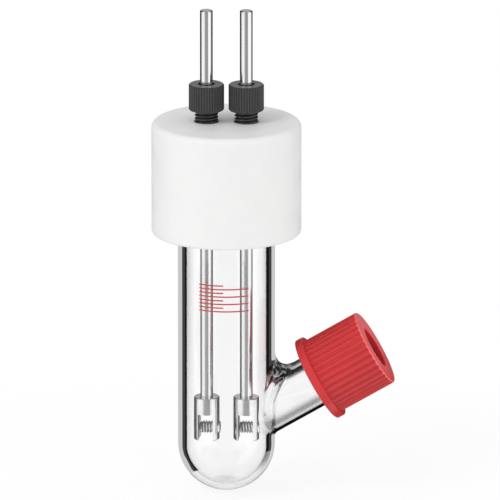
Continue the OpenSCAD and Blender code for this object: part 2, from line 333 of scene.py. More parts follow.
round_tube = turned_away(0.0, 1.0, 0.9646)
round_arm = turned_away(math.cos(lean), math.sin(lean), 0.987)
# Painted reflection: how much of the glowing edge shows, and how light it is, on the tube and above and
# below the arm.
tube_edge = glass.ramp(round_tube, (0.0, 0.0), (0.34, 0.02), (0.41, 0.08), (0.438, 0.20), (0.447, 1.0))
tube_tone = glass.ramp(round_tube - (glass.x > 0) * 0.035, (0.492, 0.008), (0.505, 0.05), (0.597, 0.058),
                       (0.614, 0.60), (0.72, 0.56), (1.0, 0.62))
over_edge = glass.ramp(round_arm, (0.0, 0.0), (0.12, 0.03), (0.139, 0.12), (0.161, 0.50), (0.185, 0.72),
                       (0.211, 0.90), (0.241, 0.97), (0.345, 1.0), (0.385, 0.95))
over_tone = glass.ramp(round_arm, (0.345, 0.012), (0.385, 0.60), (0.455, 0.50), (0.52, 0.14), (0.60, 0.03),
                       (1.0, 0.02))
under_edge = glass.ramp(round_arm, (0.0, 0.0), (0.12, 0.04), (0.185, 0.30), (0.241, 0.58), (0.274, 0.62),
                        (0.31, 0.56), (0.35, 0.52), (0.394, 0.42), (0.455, 0.24), (0.52, 0.45),
                        (0.555, 1.0))
under_tone = glass.ramp(round_arm, (0.50, 0.02), (0.56, 0.005))
print("edge ramps", len([n for n in glass.tree.nodes if n.type == "VALTORGB"]))

# %% Where each edge runs
from_tube = diagonal(glass.x, glass.y)
on_arm_skin = glass.step(from_tube, tube_r + 0.06, tube_r + 0.4) * (glass.z < 45)
over_arm = (glass.z - arm_z) * math.cos(lean) > glass.x * math.sin(lean)
near_joint = glass.step(from_tube, 13.0, 17.5, 0.9, 0.0)
# Painted pale streaks of reflection in the glowing edge near the joint.
painted_streaks = glass.step(glass.grain(0.6, 2.0, (1, 1, 0.4)), 0.50, 0.64, 0.015, 0.40)
over_tone = glass.mixed(near_joint, over_tone, painted_streaks)
slant = 0.273
level = glass.z + glass.y * slant
band_foot, left_foot = glass.x * 0.291 + 6.27, glass.x * -1.95 - 11.07
above = (level > band_foot) * (level > left_foot).of("MAXIMUM", round_tube > 0.6)
right_patch = glass.step(level, 3.5, 8.0, 0.0, 0.66) * (glass.x > 0)
tube_edge = tube_edge * above.of("MAXIMUM", right_patch)
edge = glass.mixed(on_arm_skin, tube_edge, glass.mixed(over_arm, under_edge, over_edge))
tone = glass.mixed(on_arm_skin, tube_tone, glass.mixed(over_arm, under_tone, over_tone))
print("glass nodes", len(glass.tree.nodes))

# %% Glass finishes
clear = {"Transmission_Weight": 1.0, "IOR": 1.47, "Roughness": 0.0}
# A painted dark rim at grazing angles, eased near the bottom, and a painted grey spot of shade on the front
# of the round bottom, both in the glass's tint.
painted_rim_eased_low = glass.step(glass.z, 0.5, 4.5, 0.14, 0.0)
from_spot = (glass.x / 3.6) ** 2 + (level - 2.57) ** 2
painted_bottom_shade = glass.step(from_spot, 0.0, 1.0, 0.34, 0.0) * (glass.y < 0)
painted_dark_rim = glass.ramp(facing - painted_rim_eased_low, (0.0, 1.0), (0.45, 0.97), (0.485, 0.80), (0.505, 0.80),
                       (0.54, 0.95), (0.78, 0.90), (0.86, 0.62), (0.90, 0.80), (1.0, 0.62))
wall = glass.shader(Base_Color=painted_dark_rim * (1 - painted_bottom_shade),
                    Normal=glass.bumps(glass.grain(14, 1.0, (1, 1, 0.35)), 0.012), **clear)
# A glowing emission that paints the edge's reflection.
painted_edge_glow = glass.shader(Base_Color=grey(0.0), Specular_IOR_Level=0.0, Roughness=1.0,
                          Emission_Color=tone, Emission_Strength=1.0)
not_mirrored = 1 - (glass.ray("Glossy Depth") > 0.5)
clear_glass = glass.finished(glass.either(edge * not_mirrored, wall, painted_edge_glow))
inner = Finish("clear_glass_inside")
clear_inside = inner.shade(Base_Color=grey(1.0), Normal=inner.bumps(inner.grain(9, 1.0), 0.006), **clear)
print("glass finishes 2")

# %% [markdown]
# ## White plastic
# The lid is turned from a white slippery plastic. It is satin, very slightly mottled, and the tool
# has left rings: across the top they run round the axis, and on the side they are fine level lines.

# %% Lid finish
white = Finish("white_turned_plastic")
rings, levels = diagonal(white.x, white.y).wave(0.42), white.z.wave(0.36)
mottle, speck = white.grain(3.2, 4.0), white.grain(0.5)
white_plastic = white.shade(
    Base_Color=white.ramp(mottle * 0.6 + speck * 0.4, (0.30, (0.83, 0.83, 0.826)),
                          (0.70, (0.855, 0.855, 0.851))),
    Roughness=white.dull(mottle, 0.38, 0.50), Specular_IOR_Level=0.45,
    Normal=white.bumps((rings + levels) * 0.2 + speck * 0.15, 0.003))
print("lid finish ready")

# %% [markdown]
# ## Steel
# The rods are ground and polished along their length, so their faint marks run up and down and they
# mirror the room in upright bands. The clamps are turned: fine rings run round them, and they are a
# little duller. The screws' threads carry painted shade in their valleys and painted highlights on their
# crests.

# %% Steel finishes
def steel(finish, tone, spots, smooth, rough, marks, depth):
    """Bare metal that goes from smooth to rough over its spots, with marks of a depth."""
    return finish.shade(Base_Color=tone, Metallic=1.0, Roughness=finish.dull(spots, smooth, rough),
                        Normal=finish.bumps(marks, depth))


polish = Finish("polished_steel_rod")
haze = polish.grain(6, 3.0)
tone = polish.ramp(haze, (0.25, (0.74, 0.74, 0.745)), (0.75, (0.82, 0.82, 0.825)))
polished = steel(polish, tone, haze, 0.10, 0.17, polish.grain(0.35, 3.0, (1, 1, 0.02)), 0.0005)
turning = Finish("turned_steel")
cloud = turning.grain(1.8, 4.0)
tone = turning.ramp(cloud, (0.25, (0.73, 0.73, 0.74)), (0.75, (0.86, 0.86, 0.87)))
turned_steel = steel(turning, tone, cloud, 0.11, 0.19, turning.z.wave(0.16) * 0.5 + cloud, 0.0015)
threaded = Finish("threaded_steel")
from_screw = diagonal(threaded.z - screw_z, threaded.y)
scratch = threaded.grain(0.4, 3.0)
# Painted shade in the thread's valleys and painted highlights on its crests, mixed with random scratches.
tone = threaded.ramp(threaded.step(from_screw, screw_r - 0.38, screw_r - 0.02) * 0.8 + scratch * 0.25,
                     (0.1, 0.26), (0.55, (0.68, 0.68, 0.685)), (0.9, (0.92, 0.92, 0.925)))
threaded_steel = steel(threaded, tone, scratch, 0.18, 0.30, scratch, 0.002)
print("steel finishes 3")

# %% [markdown]
# ## Black nuts
# The nuts are a dense black plastic with a metal-like sheen. Fingers have rubbed the crests of the
# knurl and of the thread to a greyer shine, and the valleys stay black. How far a point is from
# its own rod's axis tells crest from valley. The flat top is painted lighter, a painted sheen.

# %% Nut finish
knurled = Finish("black_knurled_nut")
from_rod = diagonal(knurled.x.of("ABSOLUTE") - rod_x, knurled.y)
inside_head = from_rod < shank_r + 0.2
on_shank = inside_head * (knurled.z < head_low - 0.3)
crest = knurled.step(from_rod, head_r - 0.195, head_r - 0.045)
thread_crest = knurled.step(from_rod, shank_r - 0.38, shank_r) * inside_head
# The flat top is painted lighter: a painted sheen.
painted_top_sheen = knurled.step(knurled.z, head_high - 0.1, head_high - 0.02)
scuff, rubbed = knurled.grain(0.6, 4.0), knurled.grain(2.2, 3.0)
# Crest wear from fingers, plus the painted sheen on the top face.
wear_and_painted_sheen = (crest * (0.24 + scuff * 0.5) + thread_crest * (0.25 + scuff * 0.8) + rubbed * 0.12
        + painted_top_sheen * (0.45 + scuff))
black_nut = knurled.shade(
    Base_Color=knurled.ramp(wear_and_painted_sheen, (0.0, (0.005, 0.005, 0.006)), (0.35, (0.025, 0.025, 0.026)),
                            (0.70, (0.058, 0.057, 0.056)), (1.0, (0.125, 0.124, 0.122))),
    Roughness=knurled.step(scuff, 0.25, 0.75, 0.30, 0.46) - on_shank * 0.14,
    Specular_IOR_Level=0.5, Normal=knurled.bumps(scuff, 0.01))
print("nut finish ready")

# %% [markdown]
# ## Red cap, rubber and the red marks
# The side cap is moulded in a red plastic with a soft gloss. Its colour carries painted light: painted
# shade in the grooves between its ribs and on its underside, and a painted lighter upper side and end
# face. The seals are matt rubber, which shows a fine even grain. The thin washers are the lid's white
# plastic, and the marks on the glass are a fired red enamel, slightly raised and uneven.

# %% Cap finish
moulded = Finish("red_moulded_plastic")
flow = moulded.grain(5, 3.0)
rise = moulded.z - arm_z
along_arm = moulded.x * math.cos(lean) + rise * math.sin(lean)
off_arm = rise * math.cos(lean) - moulded.x * math.sin(lean)
# Painted shade in the grooves between the ribs, faded out on the upper side, which is painted lighter.
painted_rib_light = moulded.step(diagonal(off_arm, moulded.y), cap_r - 0.45, cap_r - 0.05)
painted_rib_light = painted_rib_light + (1 - painted_rib_light) * moulded.step(off_arm, 0.0, 7.5, 0.0, 0.7)
# The end face is painted lighter and the underside painted darker.
painted_face_light = moulded.step(along_arm, cap_high - 0.55, cap_high - 0.15)
painted_under_shade = moulded.step(off_arm, -8.0, 3.0, 0.28, 0.0)
red_plastic = moulded.shade(
    Base_Color=moulded.ramp(painted_rib_light * 0.45 + flow * 0.35 + painted_face_light * 0.9 - painted_under_shade,
                            (0.0, (0.46, 0.020, 0.024)), (0.75, (0.68, 0.034, 0.037)),
                            (1.0, (0.93, 0.15, 0.155))),
    Roughness=moulded.dull(flow, 0.30, 0.40), Specular_IOR_Level=0.45,
    Normal=moulded.bumps(moulded.grain(0.35), 0.008))
print("cap finish ready")

# %% Rubber and enamel finishes
def rubber(name, dark, light):
    """Matt rubber between two colours, with a fine grain."""
    soft_grain = Finish(name)
    spots, dust = soft_grain.grain(0.3, 3.0), soft_grain.grain(2.5, 3.0)
    return soft_grain.shade(
        Base_Color=soft_grain.ramp(spots * 0.4 + dust * 0.6, (0.3, dark), (0.7, light)),
        Roughness=soft_grain.dull(dust, 0.62, 0.78), Normal=soft_grain.bumps(spots, 0.02))


black_rubber = rubber("black_seal_rubber", (0.03, 0.03, 0.032), (0.055, 0.055, 0.058))
grey_rubber = rubber("grey_gasket_rubber", (0.20, 0.20, 0.20), (0.27, 0.27, 0.265))
red_silicone = rubber("red_septum_silicone", (0.34, 0.030, 0.032), (0.44, 0.045, 0.047))
fired = Finish("red_enamel_marks")
thick = fired.grain(0.25)
enamel = fired.shade(
    Base_Color=fired.ramp(thick, (0.25, (0.45, 0.030, 0.035)), (0.75, (0.62, 0.060, 0.062))),
    Roughness=fired.dull(thick, 0.35, 0.5), Normal=fired.bumps(thick, 0.01))
print("finishes", len([m for m in bpy.data.materials if m.use_nodes]))

# %% [markdown]
# ## Making and fixing a piece
# Every piece ends the same way: a mesh in the model's frame, smooth but for its true corners, that
# rides on one body and stands for the plain solid it replaces.

# %% Piece helpers
def ring_at(r, angle, z):
    """Corners at radius r round the z axis, one at each angle, at height z."""
    return np.stack([r * np.cos(angle), r * np.sin(angle), np.broadcast_to(z, angle.shape)], axis=1)


def new_piece(name, corners, faces, finish):
    """A piece from corners in millimetres, its loose ones left out and its faces turned outwards."""
    mesh = bpy.data.meshes.new(name)
    mesh.from_pydata([tuple(c) for c in np.asarray(corners, float) * MM], [], faces)
    work = bmesh.new()
    work.from_mesh(mesh)
    bmesh.ops.delete(work, geom=[v for v in work.verts if not v.link_faces], context="VERTS")
    if work.calc_volume(signed=True) < 0:
        bmesh.ops.reverse_faces(work, faces=work.faces)
    work.to_mesh(mesh)
    work.free()
    mesh.materials.append(finish)
    piece = bpy.data.objects.new(name, mesh)
    scene.collection.objects.link(piece)
    return piece


def smoothed(piece, corner=38):
    """Shades a piece smoothly, but for edges sharper than corner degrees."""
    piece.data.shade_smooth()
    piece.data.set_sharp_from_angle(angle=math.radians(corner))
    return piece


def settled(piece):
    """Makes what a piece's modifiers show its own mesh."""
    ready = piece.evaluated_get(bpy.context.evaluated_depsgraph_get())
    mesh = bpy.data.meshes.new_from_object(ready)
    piece.modifiers.clear()
    piece.data = mesh
    return piece


def fixed(piece, body, slot, *nodes):
    """Joins a finished piece to its body and prints what it came to."""
    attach(piece, body)
    if nodes:
        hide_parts(*nodes)
    work = bmesh.new()
    work.from_mesh(piece.data)
    open_edges = sum(1 for e in work.edges if len(e.link_faces) != 2)
    triangles = sum(len(f.verts) - 2 for f in work.faces)
    print(piece.name, "triangles", triangles, "open edges", open_edges,
          "volume", round(work.calc_volume(signed=True) * 1e9, 1), "mm3")
    work.free()


print("piece helpers ready")

# %% [markdown]
# ## The glass tube
# The tube, its round bottom and the side arm are one blown piece, so one skin has to run from the
# tube into the arm with no seam. It could be cut out with booleans, but glass shows every uneven
# facet, so the skin is laid by rule instead: level rows round the tube, with a window left out of
# them, and rings that start on the window's edge, creep over the joint and run along the arm. Near
# the joint each corner is drawn to the surface where the tube and the arm melt into each other.

# %% Glass grid
along = np.array((math.cos(lean), 0, math.sin(lean)))
upward = np.array((-along[2], 0, along[0]))
sideways = np.array((0.0, 1.0, 0.0))
arm_root = np.array((0.0, 0.0, arm_z))
columns, arm_columns, half_window = 144, 168, 24
window_low, window_high, window_rows = 12.5, 36.5, 36
tube_half, arm_half = (tube_r - bore_r) / 2, (arm_r - arm_bore_r) / 2
outer_melt, inner_melt = (4.8, 2.2, 0.7), (2.0, 1.2, 0.6)
neck_swell, arm_swell, thread_turns, joint_end = 0.95, 1.0, 3.0, 23.4
around_arm = 2 * math.pi * np.arange(arm_columns) / arm_columns
print("arm leans", round(math.degrees(math.asin(along[2])), 1), "degrees")

# %% How the tube and the arm melt together
def to_tube(p, r):
    down = np.minimum(p[:, 2] - ball_z, 0)
    return np.sqrt(p[:, 0] ** 2 + p[:, 1] ** 2 + down ** 2) - r


def to_arm(p, r):
    rel = p - arm_root
    return np.linalg.norm(rel - np.outer(rel @ along, along), axis=1) - r


def melted(p, r, ra, blend):
    """How far p is outside the joined tube and arm, whose corner is filled to the blend radius."""
    a, b = to_tube(p, r), to_arm(p, ra)
    inside = np.hypot(np.maximum(blend - a, 0), np.maximum(blend - b, 0))
    return np.maximum(blend, np.minimum(a, b)) - inside


def drawn_in(p, r, ra, blend):
    """Moves each p straight to the melted surface."""
    h = 1e-4
    for _ in range(14):
        f = melted(p, r, ra, blend)
        slope = np.stack([(melted(p + step, r, ra, blend) - melted(p - step, r, ra, blend)) / (2 * h)
                          for step in np.eye(3) * h], axis=1)
        size = np.maximum((slope ** 2).sum(axis=1), 0.05)
        p = p - slope * (f / size)[:, None]
    return p


print("melted ready")

# %% One skin of the glass
def thread_swell(climbed, turn, height, turns):
    """How far a round thread stands out, climbed pitches above its start, at a share of a turn."""
    half_width, run_out = 0.36, 0.35
    nearest = np.round(climbed - turn)
    off = climbed - turn - nearest
    place = nearest + turn
    ends = np.clip(place / run_out, 0, 1) * np.clip((turns - place) / run_out, 0, 1)
    ends = ends * ends * (3 - 2 * ends)
    bell = np.where(np.abs(off) < half_width, np.cos(off / half_width * math.pi / 2) ** 2, 0)
    return height * bell * ends


def tube_rows(r, heights, thread=None):
    """Rings of corners round the tube at the given heights."""
    turn = np.arange(columns) / columns
    rows = []
    for z in heights:
        ring_r = r if z >= ball_z else math.sqrt(max(r * r - (ball_z - z) ** 2, 0))
        if thread:
            start, pitch, height, turns = thread
            ring_r = ring_r + thread_swell((z - start) / pitch, turn, height, turns)
        rows.append(ring_at(ring_r, 2 * math.pi * turn, z))
    return rows


def window_edge():
    """The window's edge as column and row numbers, from the top middle round by +Y."""
    w, n = half_window, window_rows
    edge = [(j, n) for j in range(w)] + [(w, i) for i in range(n, 0, -1)]
    edge += [(j, 0) for j in range(w, -w, -1)] + [(-w, i) for i in range(n)]
    return edge + [(j, n) for j in range(-w, 0)]


def on_arm(s, r):
    """A ring of corners round the arm, at distance s along it and r from its axis."""
    s = np.broadcast_to(s, around_arm.shape)
    return (arm_root + np.outer(s, along) + np.outer(r * np.cos(around_arm), upward)
            + np.outer(r * np.sin(around_arm), sideways))


def arm_rings(r, ra, blend, steps_tube, steps_arm):
    """Rings of corners from just inside the window's edge, over the joint, to its end on the arm."""
    top, side, low = blend
    high = np.cos(around_arm)
    melt = side + np.where(high > 0, top - side, low - side) * high ** 2
    edge = window_edge()
    pitch_z = (window_high - window_low) / window_rows
    t0 = np.array([2 * math.pi * j / columns for j, i in edge])
    z0 = np.array([window_low + pitch_z * i for j, i in edge])
    y = ra * np.sin(around_arm)
    x = np.sqrt(r * r - y * y)
    s_cut = (x + along[2] * ra * high) / along[0]
    z1 = arm_root[2] + along[2] * s_cut + along[0] * ra * high
    t1 = np.arctan2(y, x)
    rings = []
    for k in range(1, steps_tube + 1):
        share = k / steps_tube
        rings.append(ring_at(r, t0 + (t1 - t0) * share, z0 + (z1 - z0) * share))
    for k in range(1, steps_arm + 1):
        rings.append(on_arm(s_cut + (joint_end - s_cut) * k / steps_arm, ra))
    return [drawn_in(ring, r, ra, melt) for ring in rings]


print("window edge", len(window_edge()), "corners")

# %% The whole glass
def spread(low, high, count):
    """count heights from low to high, both ends in."""
    return [low + (high - low) * k / (count - 1) for k in range(count)]


def bent_rim(middle, half, steps=8):
    """Radius and height of a fire-polished rim, from the outer wall over to the bore."""
    turns = [math.pi * k / steps for k in range(1, steps)]
    return [(middle + half * math.cos(t), half * math.sin(t)) for t in turns]


def blown_glass():
    """The tube and its arm as one piece, with the outer skin's faces marked 0 and the inner's 1."""
    corners, faces, marks = [], [], []

    def add(ring):
        start = len(corners)
        corners.extend(ring)
        return list(range(start, start + len(ring)))

    def strip(lower, upper, mark, window=False):
        n = len(lower)
        for j in range(n):
            if window and (j < half_window or j >= n - half_window):
                continue
            faces.append((lower[j], lower[(j + 1) % n], upper[(j + 1) % n], upper[j]))
            marks.append(mark)

    def skin(r, ra, blend, tops, thread, mark, steps):
        """Lays one skin and returns its highest row and its last ring."""
        ball = [ball_z - r * math.cos(math.pi / 2 * k / 26) for k in range(1, 26)] + [ball_z]
        heights = ball + [12.0]
        first = len(heights)
        heights += spread(window_low, window_high, window_rows + 1) + tops
        rows = [add(ring) for ring in tube_rows(r, heights, thread)]
        pole = add([np.array((0, 0, ball_z - r))])[0]
        for j in range(columns):
            faces.append((pole, rows[0][(j + 1) % columns], rows[0][j]))
            marks.append(mark)
        for i in range(len(rows) - 1):
            strip(rows[i], rows[i + 1], mark, first <= i < first + window_rows)
        rings = [[rows[first + i][j % columns] for j, i in window_edge()]]
        rings += [add(ring) for ring in arm_rings(r, ra, blend, *steps)]
        for near, far in zip(rings, rings[1:]):
            strip(far, near, mark)
        return rows[-1], rings[-1]

    neck_top, arm_top = rim_z - tube_half, arm_rim - arm_half
    neck = (rim_z - neck_len, neck_pitch, neck_swell, thread_turns)
    tops = spread(39, 60, 6) + spread(61, neck_top, 64)
    row, ring = skin(tube_r, arm_r, outer_melt, tops, neck, 0, (16, 20))
    first_inner = len(faces)
    row_in, ring_in = skin(bore_r, arm_bore_r, inner_melt, spread(39, neck_top, 9), None, 1, (12, 16))
    for k in range(first_inner, len(faces)):
        faces[k] = faces[k][::-1]
    for r, rise in bent_rim((tube_r + bore_r) / 2, tube_half):
        upper = add(tube_rows(r, [neck_top + rise])[0])
        strip(row, upper, 0)
        row = upper
    strip(row, row_in, 0)
    outside = []
    for s in spread(joint_end + 0.4, arm_top, 60):
        climbed = (s - arm_rim + arm_thread_len) / arm_pitch
        swell = thread_swell(climbed, around_arm / (2 * math.pi), arm_swell, thread_turns)
        outside.append((s, arm_r + swell, 0))
    rim = [(arm_top + rise, r, 0) for r, rise in bent_rim((arm_r + arm_bore_r) / 2, arm_half)]
    inside = [(s, arm_bore_r, int(s < arm_top - 0.05)) for s in spread(arm_top, joint_end + 1, 8)]
    for s, r, mark in outside + rim + inside:
        outer = add(on_arm(s, r))
        strip(outer, ring, mark)
        ring = outer
    strip(ring_in, ring, 1)
    piece = new_piece("cell_glass", corners, faces, clear_glass)
    piece.data.materials.append(clear_inside)
    piece.data.polygons.foreach_set("material_index", marks)
    piece.data.shade_smooth()
    return piece


cell_glass = blown_glass()
fixed(cell_glass, "cell", "borosilicate_glass", "glass_tube")

# %% [markdown]
# ## Turned pieces
# Most of the cell was made on a lathe or in a round mould, so most pieces are an outline spun round
# an axis. An outline is a closed list of corners, each with its radius, its height and how much the
# tool has rounded it. Rounded corners catch the light, and two close points at each end of a
# rounding keep the flat faces flat.

# %% Outline and lathe
def rounded(corners, steps=4):
    """A closed outline through corners of (radius, height, rounding)."""
    outline = []
    for k, (r, z, ease) in enumerate(corners):
        here = Vector((r, z))
        if ease <= 0:
            outline.append(here)
            continue
        back = Vector(corners[k - 1][:2]) - here
        on = Vector(corners[(k + 1) % len(corners)][:2]) - here
        half = back.angle(on) / 2
        cut = min(ease / math.tan(half), 0.48 * back.length, 0.48 * on.length)
        back.normalize()
        on.normalize()
        centre = here + (back + on).normalized() * (cut / math.cos(half))
        start, end = here + back * cut - centre, here + on * cut - centre
        flat = min(0.04, cut * 0.3)
        outline.append(here + back * (cut + flat))
        swing = [start.normalized().slerp(end.normalized(), i / steps) for i in range(steps + 1)]
        outline += [centre + spoke * start.length for spoke in swing]
        outline.append(here + on * (cut + flat))
    return outline


def straight(r, low, high, pace):
    """Plain corners up a wall of radius r, between low and high, about pace apart."""
    count = max(2, round(abs(high - low) / pace))
    return [(r, z, 0) for z in spread(low, high, count + 1)[1:-1]]


def flat_ring(inner, outer, low, high, ease, top_ease=None):
    """The outline of a flat ring, or of a disc where inner is 0."""
    hole = ease if inner else 0
    return rounded([(inner, low, hole), (outer, low, ease), (outer, high, top_ease or ease),
                    (inner, high, hole)])


def turned(name, outline, sides, finish, six_sided=()):
    """Spins a closed outline round the z axis. Points listed in six_sided follow a hexagon."""
    corners, rings = [], []
    angle = 2 * math.pi * np.arange(sides) / sides
    for k, (r, z) in enumerate(outline):
        if r < 1e-6:
            rings.append([len(corners)] * sides)
            corners.append((0, 0, z))
            continue
        if k in six_sided:
            r = r / np.cos((angle + math.pi / 6) % (math.pi / 3) - math.pi / 6)
        rings.append(list(range(len(corners), len(corners) + sides)))
        corners.extend(ring_at(r, angle, z))
    faces = []
    for lower, upper in zip(rings, rings[1:] + rings[:1]):
        for j in range(sides):
            on = (j + 1) % sides
            face = tuple(dict.fromkeys((lower[j], lower[on], upper[on], upper[j])))
            if len(face) > 2:
                faces.append(face)
    return new_piece(name, corners, faces, finish)


def moved(piece, matrix):
    """Moves a piece's corners, and leaves its object at the origin."""
    piece.data.transform(matrix)
    if matrix.determinant() < 0:
        piece.data.flip_normals()
    return piece


def shift(x, y, z):
    """A move given in millimetres."""
    return Matrix.Translation(Vector((x, y, z)) * MM)


def pair(blank, name, body, slot, node, corner=38, laid=None):
    """Puts a copy of a blank at the left rod and one at the right, and clears the blank."""
    for side, hand in ((-1, "left"), (1, "right")):
        piece = bpy.data.objects.new(f"{name}_{hand}", blank.data.copy())
        scene.collection.objects.link(piece)
        if laid:
            moved(piece, laid)
        smoothed(moved(piece, shift(side * rod_x, 0, 0)), corner)
        fixed(piece, f"{body}_{hand}", slot, f"{node}_{hand}")
    bpy.data.objects.remove(blank)


print("lathe ready")

# %% [markdown]
# ## Ridges
# Knurl, screw threads and the cap's ribs are one rule: a ripple round the axis that moves corners
# in or out. With many ripples in a turn and none along the axis it is a knurl or a set of ribs. With
# one in a turn that drifts up by a pitch it is a thread. A Geometry Nodes tree holds the rule, and
# each piece sets its own count, depth, pitch and limits.

# %% The ridges tree
def shape_tree(name, *sizes):
    """A Geometry Nodes tree with a geometry, named sizes and a finish as inputs."""
    tree = bpy.data.node_groups.new(name, "GeometryNodeTree")
    tree.interface.new_socket(name="Geometry", in_out="OUTPUT", socket_type="NodeSocketGeometry")
    kinds = ["Geometry"] + ["Float"] * len(sizes) + ["Material"]
    for size, kind in zip(("Geometry", *sizes, "Finish"), kinds):
        tree.interface.new_socket(name=size, in_out="INPUT", socket_type="NodeSocket" + kind)
    wiring = Wiring(tree)
    given = tree.nodes.new("NodeGroupInput")
    return wiring, {o.name: Wire(wiring, o) for o in given.outputs if o.name}


def shape_end(wiring, geometry, finish):
    """Ends a tree: real faces, one finish, and out."""
    real = wiring.node("GeometryNodeRealizeInstances", {0: geometry})
    dressed = wiring.node("GeometryNodeSetMaterial", {"Geometry": real, "Material": finish})
    wiring.node("NodeGroupOutput", {0: dressed})


def shaped(piece, wiring, finish, **sizes):
    """Runs a tree on a piece with its own sizes, and keeps the result as a plain mesh."""
    step = piece.modifiers.new("shape", "NODES")
    step.node_group = wiring.tree
    sizes["Finish"] = finish
    for item in wiring.tree.interface.items_tree:
        name = item.name.replace(" ", "_")
        if item.in_out == "INPUT" and name in sizes:
            step[item.identifier] = sizes[name]
    return settled(piece)


ridges, given = shape_tree("ridges", "Count", "Turns Per Metre", "Depth", "Squareness", "Low", "High",
                           "Fade", "Within", "Beyond")
x, y, z = ridges.parts(ridges.node("GeometryNodeInputPosition"))
radius = diagonal(x, y)
ripple = y.of("ARCTAN2", x) * given["Count"] - z * given["Turns Per Metre"] * (2 * math.pi)
ripple = ripple.of("COSINE") * given["Squareness"] * 0.5 + 0.5
valley = 1 - ridges.node("ShaderNodeClamp", {"Value": ripple})
fade_in = ridges.step(z, given["Low"], given["Low"] + given["Fade"])
fade_out = ridges.step(z, given["High"] - given["Fade"], given["High"], 1.0, 0.0)
where = fade_in * fade_out * (radius > given["Beyond"]) * (radius < given["Within"])
share = (radius - valley * given["Depth"] * where) / radius
shifted = ridges.joined(x * share, y * share, z)
drawn = ridges.node("GeometryNodeSetPosition", {"Geometry": given["Geometry"], "Position": shifted})
shape_end(ridges, drawn, given["Finish"])


def ridged(piece, count, pitch, depth, squareness, heights, fade, radii):
    """Adds ridges between two heights and two radii, in millimetres. Without a pitch they run straight."""
    return shaped(piece, ridges, piece.data.materials[0], Count=float(count),
                  Turns_Per_Metre=1 / (pitch * MM) if pitch else 0.0, Depth=depth * MM,
                  Squareness=squareness, Low=heights[0] * MM, High=heights[1] * MM, Fade=fade * MM,
                  Beyond=radii[0] * MM, Within=radii[1] * MM)


print("ridges nodes", len(ridges.tree.nodes))

# %% [markdown]
# ## The lid
# The lid is a thick white plastic plug with a rounded top edge. It is hollow below, where a coarse
# thread runs over the glass neck, and two threaded wells for the nuts go down from its top, each
# with a narrow hole for its rod. The body is spun, the thread is a ridge in the bore, and the
# wells are cut with two spun cutters, because they stand off the axis.

# %% Lid
def cut_out(piece, *cutters):
    """Takes cutters away from a piece with exact booleans, and clears the cutters."""
    for cutter in cutters:
        step = piece.modifiers.new("cut", "BOOLEAN")
        step.object, step.operation, step.solver = cutter, "DIFFERENCE", "EXACT"
    settled(piece)
    work = bmesh.new()
    work.from_mesh(piece.data)
    bmesh.ops.remove_doubles(work, verts=work.verts, dist=0.002 * MM)
    work.to_mesh(piece.data)
    work.free()
    for cutter in cutters:
        bpy.data.objects.remove(cutter)
    return piece


well_r, well_floor, above_lid = 2.9, 82.5, lid_high + 1
lid_outline = rounded(
    [(lid_r, lid_low, 0.7), (lid_r, lid_high, 1.4), (0, lid_high, 0), (0, lid_roof, 0)]
    + [(lid_bore_r, lid_roof, 0.3)]
    + straight(lid_bore_r, lid_roof - 0.9, lid_low + 0.9, 0.27)
    + [(lid_bore_r, lid_low + 0.5, 0), (lid_bore_r + 0.5, lid_low, 0.2)], 8)
lid = turned("turned_lid", lid_outline, 192, white_plastic)
ridged(lid, 1, neck_pitch, -0.9, 1.3, (lid_low + 0.6, lid_roof - 0.6), 0.8,
       (lid_bore_r - 0.2, lid_bore_r + 0.1))
well_outline = rounded(
    [(0, 75, 0), (nut_bore_r, 75, 0), (nut_bore_r, well_floor, 0.1), (well_r, well_floor, 0),
     (well_r, lid_high - 0.1, 0.05), (well_r + 0.1, lid_high, 0.05), (well_r + 0.1, above_lid, 0),
     (0, above_lid, 0)])
cut_out(lid, *[moved(turned("well", well_outline, 64, white_plastic), shift(side * rod_x, 0, 0))
               for side in (-1, 1)])
smoothed(lid, 30)
fixed(lid, "lid", "white_ptfe", "lid")

# %% [markdown]
# ## The gland nuts
# Each nut has a tall knurled head with bevelled edges, a countersink where the rod comes out, and a
# threaded shank of which three turns show above the lid. The knurl is 40 straight teeth, and the
# thread has a pitch of 0.8 millimetres.

# %% Gland nuts
bevelled_r, shank_foot, shank_top = head_r - 0.245, nut_low + 0.4, head_low - 0.35
nut_outline = rounded(
    [(nut_bore_r, nut_low, 0.1), (shank_r - 0.4, nut_low, 0.1), (shank_r, shank_foot, 0)]
    + straight(shank_r, shank_foot, shank_top, 0.09)
    + [(shank_r, shank_top, 0.15), (shank_r - 0.15, head_low, 0.1), (bevelled_r, head_low, 0.06),
       (head_r, head_low + 0.25, 0.06)]
    + straight(head_r, head_low + 0.35, head_high - 0.35, 0.6)
    + [(head_r, head_high - 0.25, 0.06), (bevelled_r, head_high, 0.06), (nut_bore_r + 0.4, head_high, 0.1),
       (nut_bore_r, head_high - 0.4, 0.1)], 3)
nut = turned("nut_blank", nut_outline, 320, black_nut)
ridged(nut, 40, None, 0.15, 1.5, (head_low - 0.05, head_high + 0.05), 0.35, (3.5, 5.0))
ridged(nut, 1, 0.8, 0.45, 1.15, (nut_low + 0.1, head_low - 0.4), 0.3, (2.3, 3.0))
pair(nut, "knurled_nut", "nut", "black_nut", "gland_nut", 60)

# %% [markdown]
# ## The rods
# Each rod is a plain polished bar with bevelled ends. A fine groove at the mouth of its nut shows how
# deep it is set.

